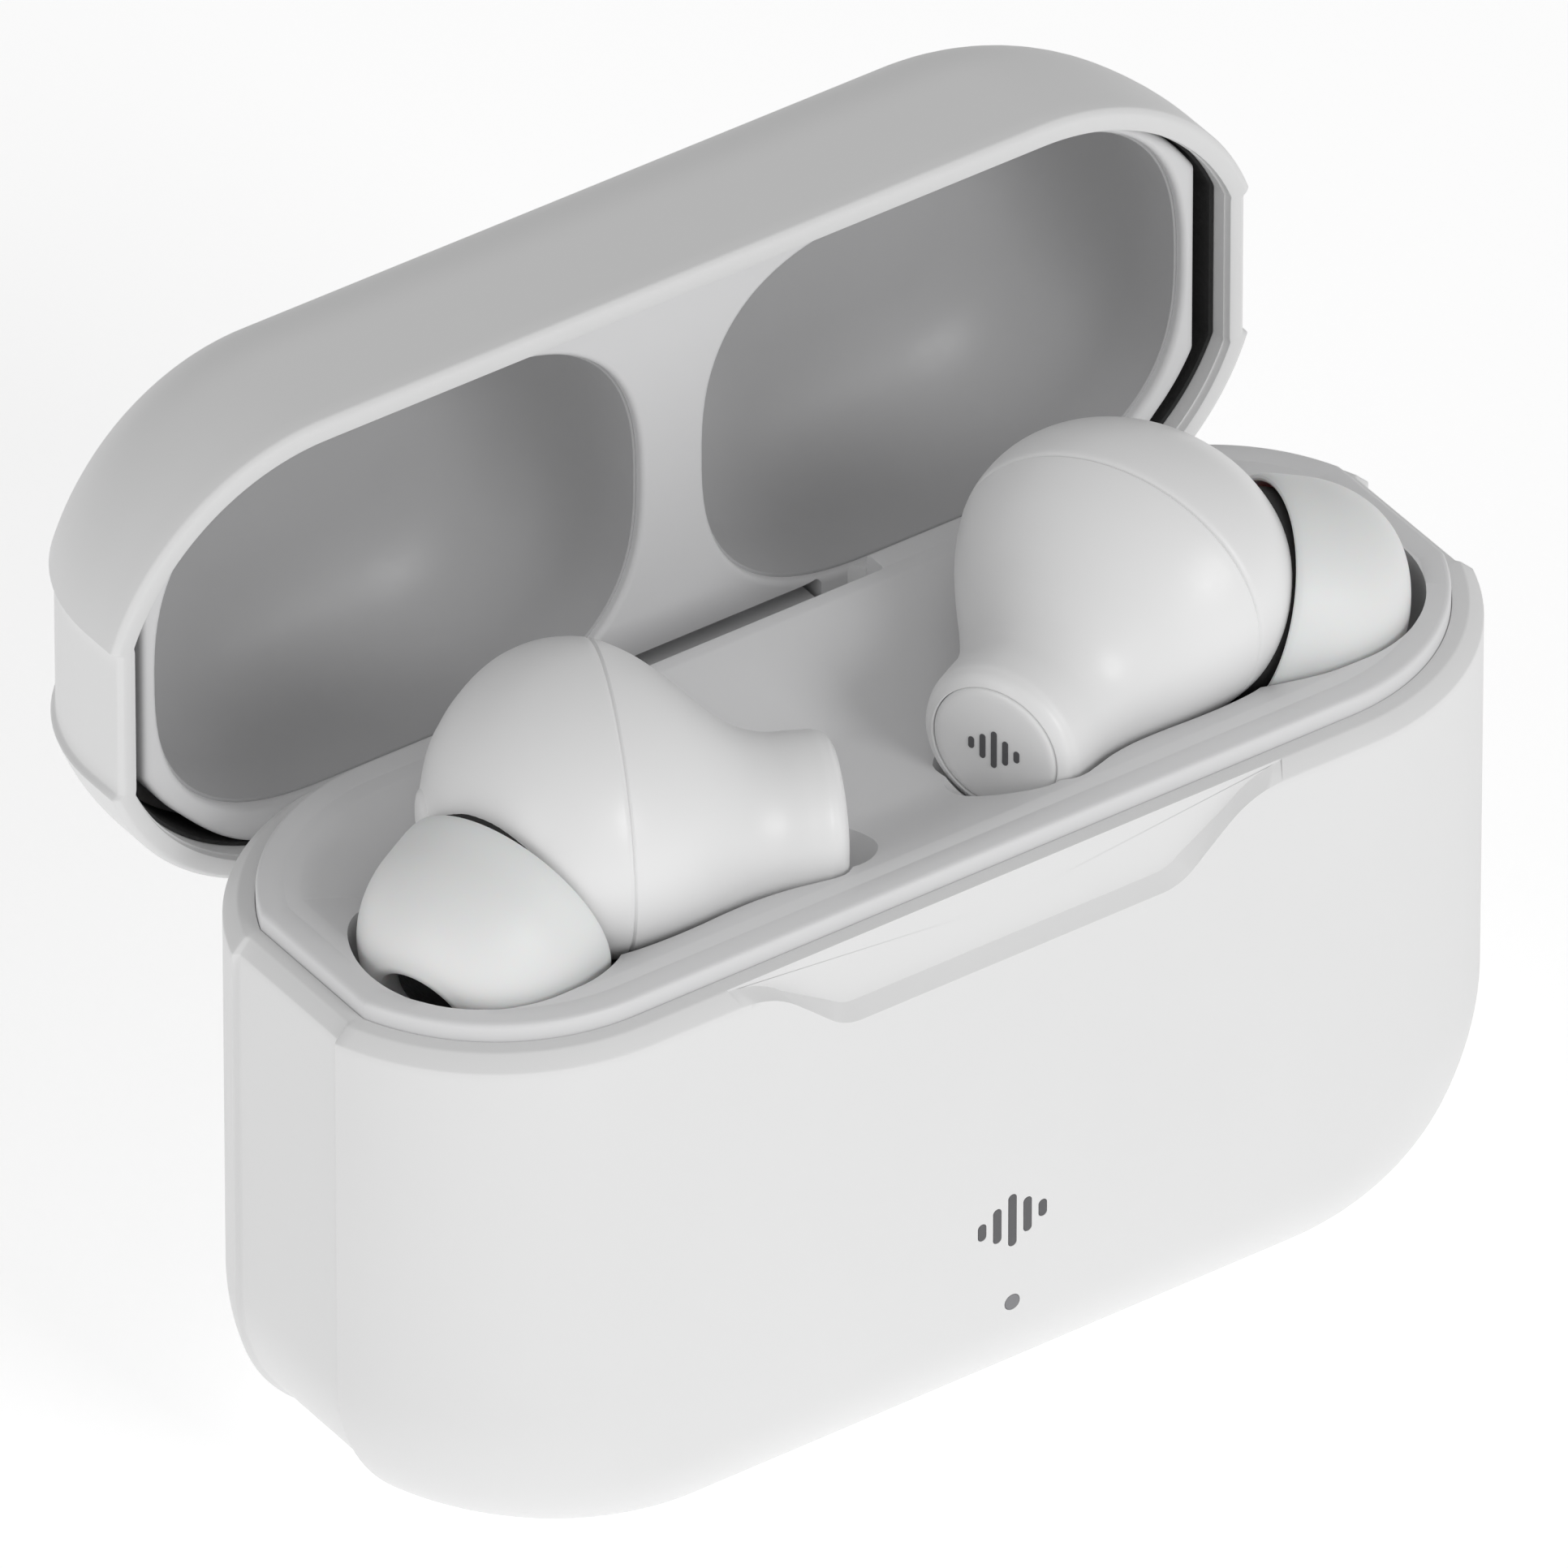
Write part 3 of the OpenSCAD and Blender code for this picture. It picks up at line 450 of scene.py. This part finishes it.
carve(tray, [skin("arm_slot", bar_rings((-SLOT_HALF, SLOT_HALF), (HINGE_Y - 0.15, 16), (24, 34), 0.2))] + [
    skin(f"{shape}_{side}", handed(points, side)) for side in (-1, 1)
    for shape, points in (("stem_room", stem_pocket(POCKET_GAP)), ("tip_room", tip_pocket()))])
satin_grey = finish("satin_pale_moulding", (0.79, 0.79, 0.795), (0.38, 0.5), 2600, 0.002)
settle(tray, "case", "tray_plastic", satin_grey, "tray")


# --- Front mark and lamp ------------------------------------------------------------------------
# Five grey inlaid bars flush with the front wall, and below them the end of a clear light pipe
# that carries the charging lamp's light out from the board.
inlay_grey = finish("grey_inlay", (0.10, 0.10, 0.105), (0.35, 0.5), 3000, 0.002)
repaint(inlay_grey, "front_mark", "touch_mark_left", "touch_mark_right")
lamp_clear = finish("lamp_plastic", (0.22, 0.22, 0.23), (0.12, 0.2), 1500, 0.001, IOR=1.49)
repaint(lamp_clear, "light_pipe")

# --- Charging port ------------------------------------------------------------------------------
# A drawn steel shell with a dark moulded tongue, soldered to the main board behind the rear wall.
drawn_steel = finish("drawn_steel", (0.60, 0.60, 0.62), (0.22, 0.38), 2500, 0.0015,
                     stretch=(1, 0.08, 1), Metallic=1.0)
dark_moulding = finish("dark_moulding", (0.02, 0.02, 0.022), (0.38, 0.52), 2800, 0.002)
repaint(drawn_steel, "usb_port")
repaint(dark_moulding, "usb_tongue", "board_chips")

# --- Boards, cell and magnets -------------------------------------------------------------------
# What sits inside the tub: two green circuit boards on bosses, a pouch of foil-wrapped cell on a
# foam pad, gold contact pins under each earbud, and nickel-plated magnets let into the tray.
solder_mask = finish("solder_mask", (0.02, 0.13, 0.06), (0.25, 0.42), 900, 0.006, drift=0.25, patch=900)
foil = finish("cell_foil", (0.66, 0.66, 0.69), (0.25, 0.45), 1100, 0.01, Metallic=0.9)
# Black foam for the battery pad; the same black is also painted shade on the lid's end strips and the rings at the
# nozzles' roots.
foam = finish("foam_pad_and_painted_shade", (0.03, 0.03, 0.03), (0.8, 0.95), 2600, 0.05, drift=0.3, patch=1500)
gold_plate = finish("gold_plate", (0.83, 0.60, 0.24), (0.15, 0.28), 3000, 0.001, Metallic=1.0)
nickel = finish("nickel_plate", (0.62, 0.61, 0.60), (0.12, 0.25), 2400, 0.001, Metallic=1.0)
repaint(solder_mask, "main_board", "charge_board", "bud_board_left", "bud_board_right")
repaint(foil, "battery", "bud_cell_left", "bud_cell_right")
repaint(foam, "battery_pad")
repaint(gold_plate, "pogo_barrels", "pogo_left", "pogo_right", "bud_contacts_left", "bud_contacts_right")
repaint(nickel, "bud_magnets", "lock_magnet", "lid_magnet", "bud_pull_left", "bud_pull_right")
repaint(drawn_steel, "board_screws", "charge_screws", "driver_left", "driver_right")

# --- Lid shell ----------------------------------------------------------------------------------
# The outer skin of the lid: the same matt white moulding as the case, a shallow tub whose edge
# closes on the case rim. It is drawn closed and turned open about the hinge.
LID_Z, LID_HIGH, LID_CORNER_R, LID_EDGE_R, LID_WALL, LID_ROOF = 30.2, 12.2, 10.0, 6.5, 1.2, 0.9
LID_TOP = LID_Z + LID_HIGH


def opened(points):
    """A point of the closed lid turned a quarter back about the hinge."""
    x, y, z = np.moveaxis(np.asarray(points, float), -1, 0)
    return np.stack([x, HINGE_Y + (z - HINGE_Z), HINGE_Z - (y - HINGE_Y)], -1)


LID_RIM = [(0.0, 11.86), (0.02, 11.94), (0.06, 12.0), (0.22, 12.14), (0.3, 12.18), (0.38, 12.2), (1.02, 12.2),
           (1.08, 12.18), (1.1, 12.12), (1.1, 11.86), (1.12, 11.8), (1.16, 11.78), (1.2, 11.78), (1.2, 11.0)]
stack = np.array(tub_rings(LID_CORNER_R, LID_EDGE_R, LID_WALL, LID_ROOF, LID_RIM,
                           np.linspace(10.2, 11.1, 5)))
stack[..., 2] = LID_TOP - stack[..., 2]
lid_shell = skin("lid_skin", opened(stack))
settle(lid_shell, "lid", "case_plastic", matt_white, "lid_shell")

# --- Lid liner ----------------------------------------------------------------------------------
# A pale plate pressed into the lid mouth, with two large openings over the earbuds whose edges
# roll softly inwards, and a gap at each end beside the shell.
LINER_Z, LINER_THICK, LINER_END, LINER_IN, HOLLOW_R = 31.3, 2.3, 29.4, 1.3, 10.3


def hollow(r, side=-1, power=2.6, n=48):
    """Outline of a lid hollow of half-depth r: straight sides between two ends that follow a power
    curve, round at power 2 and squarer above it."""
    t = np.linspace(-math.pi / 2, math.pi / 2, n)
    x, y = np.abs(np.cos(t)) ** (2 / power), np.sign(np.sin(t)) * np.abs(np.sin(t)) ** (2 / power)
    near = np.c_[-11.8 + r * x, -0.75 + (r - 0.2) * y]
    far = np.c_[-18.6 - r * x, -0.75 - (r - 0.2) * y]
    ring = np.vstack([near, far])
    return ring if side < 0 else (ring * [-1, 1])[::-1]


def end_gap(turn):
    """Room between liner and lid wall at each angle of the round end: wide behind, fine ahead."""
    behind, ahead = np.clip((1.36 - turn) / 0.6, 0, 1), np.clip((turn + 1.15) / 0.5, 0, 1)
    fine = 0.2 + 0.55 * np.clip(turn / 0.5 + 1, 0, 1)
    return np.where(turn > 0, 0.75 * behind**2 * (3 - 2 * behind), fine) * ahead


def flat_ring(inset, end, n=160):
    """Outline of the liner: the lid's plan drawn in by inset, cut off square at each end, with room for
    a black strip of painted shade from there round the rear corner."""
    turn = np.linspace(-math.pi / 2, math.pi / 2, n)
    r = HALF_DEEP - inset - end_gap(turn)
    right = np.c_[np.minimum(HALF_LONG - HALF_DEEP + r * np.cos(turn), end), r * np.sin(turn)]
    return np.vstack([right, (right * [-1, 1])[::-1]])


rings = []
for drawn, lift in ((0.5, 0.0), (0.25, 0.03), (0.1, 0.12), (0.02, 0.27), (0.0, 0.45), (0.0, LINER_THICK)):
    rings.append(level_ring(flat_ring(LINER_IN + drawn, LINER_END - drawn), LINER_Z + lift))
liner = skin("lid_plate", opened(rings))
cutters = []
for side, name in ((-1, "left"), (1, "right")):
    flare = [level_ring(hollow(HOLLOW_R + 0.3 * (1 - math.sin(a)) - 0.22, side),
                        LINER_Z + 0.3 * (1 - math.cos(a)))
             for a in np.linspace(0, math.pi / 2, 7)]
    cut = [level_ring(hollow(HOLLOW_R + 0.08, side), LINER_Z - 1)] + flare + [
        level_ring(hollow(HOLLOW_R - 0.22, side), LINER_Z + 4)]
    cutters.append(skin(f"hollow_cut_{name}", opened(cut)))
arm_gap = bar_rings((-SLOT_HALF, SLOT_HALF), (HALF_DEEP - 3.6, HALF_DEEP + 2), (30, 40), 0.3)
cutters.append(skin("arm_gap", opened(arm_gap)))
carve(liner, cutters)
settle(liner, "lid", "tray_plastic", satin_grey, "lid_liner")

# --- Lid hollows --------------------------------------------------------------------------------
# Two bowls behind the liner's openings, thin-walled, that clear the earbuds when the lid
# is shut. Their grey is darker than the liner's as painted shade in the hollows.
# Darker grey than the liner: painted shade for the hollows of the lid.
hollow_shade_grey = finish("hollow_painted_shade_grey", (0.53, 0.53, 0.535), (0.34, 0.46), 2200, 0.002, drift=0.05)
BOWL_TOP = LID_TOP - LID_ROOF - 0.15
BOWL_R, BOWL_EDGE_R, CUP_R, CUP_EDGE_R, BOWL_THICK = 10.2, 6.6, 9.92, 6.2, 0.4
for side, name in ((-1, "left"), (1, "right")):
    outer = [level_ring(hollow(half(z, BOWL_R, BOWL_EDGE_R), side, 2 + 0.06 * z), BOWL_TOP - z)
             for z in rounded_steps(BOWL_EDGE_R, 16)]
    mouth = [level_ring(hollow(r, side), z)
             for r, z in ((BOWL_R, 31.9), (10.09, 31.8), (9.98, 31.8), (9.94, 31.84))]
    inner = [level_ring(hollow(half(z, CUP_R, CUP_EDGE_R), side, 2 + 0.06 * z), BOWL_TOP - BOWL_THICK - z)
             for z in rounded_steps(CUP_EDGE_R, 20)[::-1]]
    bowl = skin(f"lid_bowl_{name}", opened(outer + mouth + inner))
    settle(bowl, "lid", "dish_plastic", hollow_shade_grey, f"lid_dish_{name}")

# --- Lid end strips -----------------------------------------------------------------------------
# A thin black strip on the lid's wall at each end, painted shade seen through the gap beside the liner.
for side, name in ((-1, "left"), (1, "right")):
    turn = np.linspace(-1.1, 1.3, 110)
    outer, inner = (np.c_[np.minimum(HALF_LONG - HALF_DEEP + r * np.cos(turn), end), r * np.sin(turn)]
                    for r, end in ((11.27, 30.46), (11.14, 30.3)))
    cuts = [level_ring(edge * [side, 1], z)
            for edge, z in ((inner, 31.5), (outer, 31.4), (outer, 34.0), (inner, 34.0))]
    # The strip is painted shade: black material where the gap beside the liner lies in shadow.
    shade_strip = skin(f"lid_end_shade_strip_{name}", opened(np.stack(cuts, 1)))
    settle(shade_strip, "lid", "foam", foam)

# --- Hinge --------------------------------------------------------------------------------------
# A steel pin through a moulded barrel on the lid, held by a folded steel bracket screwed up into
# the tray from below.
repaint(satin_grey, "hinge_arm")
repaint(drawn_steel, "hinge_pin", "hinge_bracket", "bracket_screws", "arm_screws")

# --- Earbud housings ----------------------------------------------------------------------------
# Each earbud is two satin white mouldings welded at a fine seam round the bulb: a stem half that
# ends in the touch face, and a bulb half that carries the nozzle.
satin_white = finish("satin_white_moulding", (0.90, 0.90, 0.90), (0.3, 0.42), 2600, 0.0015, drift=0.02)
BUD_WALL, SEAM = 0.9, 10.8


def bud_rings(stations, inset, sides=96):
    """Ovals of the faired earbud at each station, drawn in by inset, placed in the case."""
    s, inset = np.asarray(stations, float), np.asarray(inset, float)[:, None]
    size = faired(BUD, s)
    t = np.linspace(0, 2 * math.pi, sides, endpoint=False)[None, :]
    wide = (size[:, 0, None] - inset) * np.cos(t)
    high = size[:, 2, None] + (size[:, 1, None] - inset) * np.sin(t)
    along, across, up = bud_frame()
    return FACE_AT + s[:, None, None] * along + wide[..., None] * across + high[..., None] * up


def turned(start, axis, profile, sides=96):
    """Profile of (radius, distance) pairs turned about an axis from start."""
    axis = Vector(axis).normalized()
    u = axis.orthogonal().normalized()
    v = axis.cross(u)
    t = np.linspace(0, 2 * math.pi, sides, endpoint=False)[None, :, None]
    r, d = np.asarray(profile, float)[:, 0, None, None], np.asarray(profile, float)[:, 1, None, None]
    return np.array(start) + d * np.array(axis) + r * (np.cos(t) * np.array(u) + np.sin(t) * np.array(v))


along, across, up = bud_frame()
bulb, nozzle = tip_axis()
for side, name in ((-1, "left"), (1, "right")):
    body = f"bud_{name}"
    outside = np.r_[np.linspace(0.14, 1.0, 12), np.linspace(1.3, SEAM - 0.14, 34)]
    inside = np.linspace(SEAM, 1.2, 16)
    lip = np.array([0.9, 0.2, 0.13, 0.11])
    stations = np.r_[lip, outside, SEAM - 0.06, SEAM, inside]
    bore = faired(BUD, lip)[:, 0] - [3.26, 3.26, 3.28, 3.33]
    inset = np.r_[bore, 0 * outside, 0.05, 0.12, np.full(16, BUD_WALL)]
    stem = skin(f"stem_half_{name}", handed(bud_rings(stations, inset), side), loop=True)
    holes = []
    for d in (3.2, 5.6):
        foot = handed(FACE_AT + d * along - 5.5 * up, side)
        holes.append(drum(f"contact_hole_{d}", foot, (0, 0, 1), 2.6, 0.83))
    mic = handed(FACE_AT + 2.2 * along - 5.6 * across, side)
    holes.append(drum("mic_hole", mic, handed(across, side), 3.0, 0.45))
    carve(stem, holes)
    settle(stem, body, "bud_plastic", satin_white, f"outer_housing_{name}")
    close = np.linspace(0, math.pi / 2, 7)[1:-1]
    stations = np.r_[np.linspace(18.3, SEAM, 14), SEAM, SEAM + 0.06, np.linspace(SEAM + 0.14, 19.2, 46)]
    inset = np.r_[np.full(14, BUD_WALL), 0.12, 0.05, np.zeros(46)]
    rings = list(bud_rings(stations, inset))
    last = rings[-1]
    middle = last.mean(0)
    rings += [middle + (last - middle) * math.cos(a) + along * 0.35 * math.sin(a) for a in close]
    bulb_half = skin(f"bulb_half_{name}", handed(np.array(rings), side))
    settle(bulb_half, body, "bud_plastic", satin_white, f"inner_housing_{name}")
    spout = turned(bulb, nozzle, [(1.7, 6.0), (2.3, 6.0), (2.3, 11.8), (2.2, 11.95), (2.0, 12.0), (1.8, 11.95),
                                  (1.7, 11.8)])
    spout = skin(f"nozzle_{name}", handed(spout, side), loop=True)
    settle(spout, body, "bud_plastic", satin_white, f"inner_housing_{name}")

# --- Touch faces --------------------------------------------------------------------------------
# A round white plate set into the end of each stem, its edge turned over softly. The five grey bars
# of the case's mark are inlaid in it.
plate = [(0.001, 0.05), (1.2, 0.045), (2.2, 0.035), (2.75, 0.03), (2.95, 0.04), (3.08, 0.075), (3.18, 0.14),
         (3.23, 0.22), (3.24, 0.32), (3.24, 0.8), (0.0, 0.8)]
for side, name in ((-1, "left"), (1, "right")):
    face = skin(f"touch_face_{name}", handed(turned(FACE_AT, along, plate, 72), side))
    settle(face, f"bud_{name}", "bud_plastic", satin_white, f"touch_plate_{name}")

# --- Ear tips -----------------------------------------------------------------------------------
# Soft white silicone domes: one moulding with a sleeve that grips the nozzle and a thin skirt that
# folds back round it, a black ring at the nozzle's root as painted shade in the gap between skirt and
# bulb, and a fine mesh across the sound hole.
TIP_FROM = 7.2
silicone = finish("white_silicone", (0.89, 0.89, 0.885), (0.42, 0.55), 1800, 0.001, drift=0.02,
                  Subsurface_Weight=0.15, Subsurface_Scale=0.001)
arc = np.radians(np.linspace(0, 75, 26))
dome = np.c_[TIP_R * 0.35 + TIP_R * 0.65 * np.cos(arc),
             1.6 + (TIP_LONG - 1.6) * np.sin(arc) / math.sin(math.radians(78))]
under = np.radians(np.linspace(70, 0, 14))
cup = np.c_[2.9 + 2.2 * np.cos(under), 1.6 + 3.6 * np.sin(under)]
profile = np.vstack([[[2.35, 1.3], [2.45, 1.2], [2.8, 1.2], [2.9, 1.3], [2.9, 4.2]], cup,
                     [[5.2, 0.6], [5.24, -0.5], [5.28, -0.6], [5.38, -0.66], [5.5, -0.64], [5.58, -0.54],
                      [5.64, -0.3], [5.68, 0.1], [5.69, 0.6]], dome,
                     [[2.86, 6.4], [2.7, 6.44], [2.5, 6.43], [2.36, 6.36], [2.3, 6.24], [2.1, 5.4],
                      [2.1, 5.0], [2.35, 4.9]]])
profile[:, 1] += TIP_FROM
weave = finish("sound_mesh", (0.012, 0.012, 0.013), (0.45, 0.6), 5200, 0.03, drift=0.4, patch=4000)
screen = [(0.001, 13.0), (0.8, 12.98), (1.5, 12.9), (1.95, 12.75), (2.04, 12.6), (2.04, 12.15), (0.001, 12.15)]
root = [(2.4, 5.4), (4.95, 5.4), (5.02, 5.6), (5.02, 7.3), (4.9, 7.5), (2.4, 7.5)]
for side, name in ((-1, "left"), (1, "right")):
    tip = skin(f"silicone_tip_{name}", handed(turned(bulb, nozzle, profile), side), loop=True)
    settle(tip, f"bud_{name}", "silicone", silicone, f"ear_tip_{name}")
    # A black ring at the nozzle's root: painted shade in the gap between the skirt and the bulb.
    root_shade_ring = skin(f"tip_root_shade_ring_{name}", handed(turned(bulb, nozzle, root, 64), side), loop=True)
    settle(root_shade_ring, f"bud_{name}", "foam", foam)
    filter_cap = skin(f"sound_filter_{name}", handed(turned(bulb, nozzle, screen, 48), side))
    settle(filter_cap, f"bud_{name}", "mesh", weave, f"tip_mesh_{name}")

# --- Floor, lights and camera -------------------------------------------------------------------
# A pale floor, one broad soft lamp ahead, a fainter one to the side, and an even pale sky.
floor_mesh = bpy.data.meshes.new("floor")
floor_mesh.from_pydata([(-9, -9, 0), (9, -9, 0), (9, 9, 0), (-9, 9, 0)], [], [(0, 1, 2, 3)])
floor = bpy.data.objects.new("floor", floor_mesh)
bpy.context.scene.collection.objects.link(floor)
floor_white = finish("floor_white", (0.88, 0.88, 0.88), (0.8, 0.9), 200, 0.001, drift=0.01, patch=3)
floor_white.node_tree.nodes["Principled BSDF"].inputs["Emission Color"].default_value = (1, 1, 1, 1)
floor_white.node_tree.nodes["Principled BSDF"].inputs["Emission Strength"].default_value = 0.47
floor_mesh.materials.append(floor_white)

sky = bpy.data.worlds.new("sky")
sky.use_nodes = True
sky.node_tree.nodes["Background"].inputs["Color"].default_value = (1, 1, 1, 1)
sky.node_tree.nodes["Background"].inputs["Strength"].default_value = 0.44
bpy.context.scene.world = sky


def soft_lamp(name, place, aim, size, power):
    """Square area lamp at place, facing aim, both in metres."""
    lamp = bpy.data.lights.new(name, "AREA")
    lamp.size, lamp.energy = size, power
    held = bpy.data.objects.new(name, lamp)
    held.location = place
    held.rotation_euler = (Vector(aim) - Vector(place)).to_track_quat("-Z", "Y").to_euler()
    bpy.context.scene.collection.objects.link(held)


soft_lamp("front_lamp", (0.2, -0.92, 0.5), (0, 0, 0.02), 0.42, 2.9)
soft_lamp("side_lamp", (-1.0, -0.1, 0.30), (0, 0, 0.02), 0.5, 1.3)

aim = Vector((0.00494, 0.01281, 0.01802))
eye = bpy.data.cameras.new("eye")
eye.sensor_width, eye.lens, eye.clip_end = 36, 995, 10
camera = bpy.data.objects.new("eye", eye)
camera.location = aim + 2.0 * Vector((-0.461, -0.6585, 0.595))
camera.rotation_euler = (aim - camera.location).to_track_quat("-Z", "Y").to_euler()
bpy.context.scene.collection.objects.link(camera)
bpy.context.scene.camera = camera
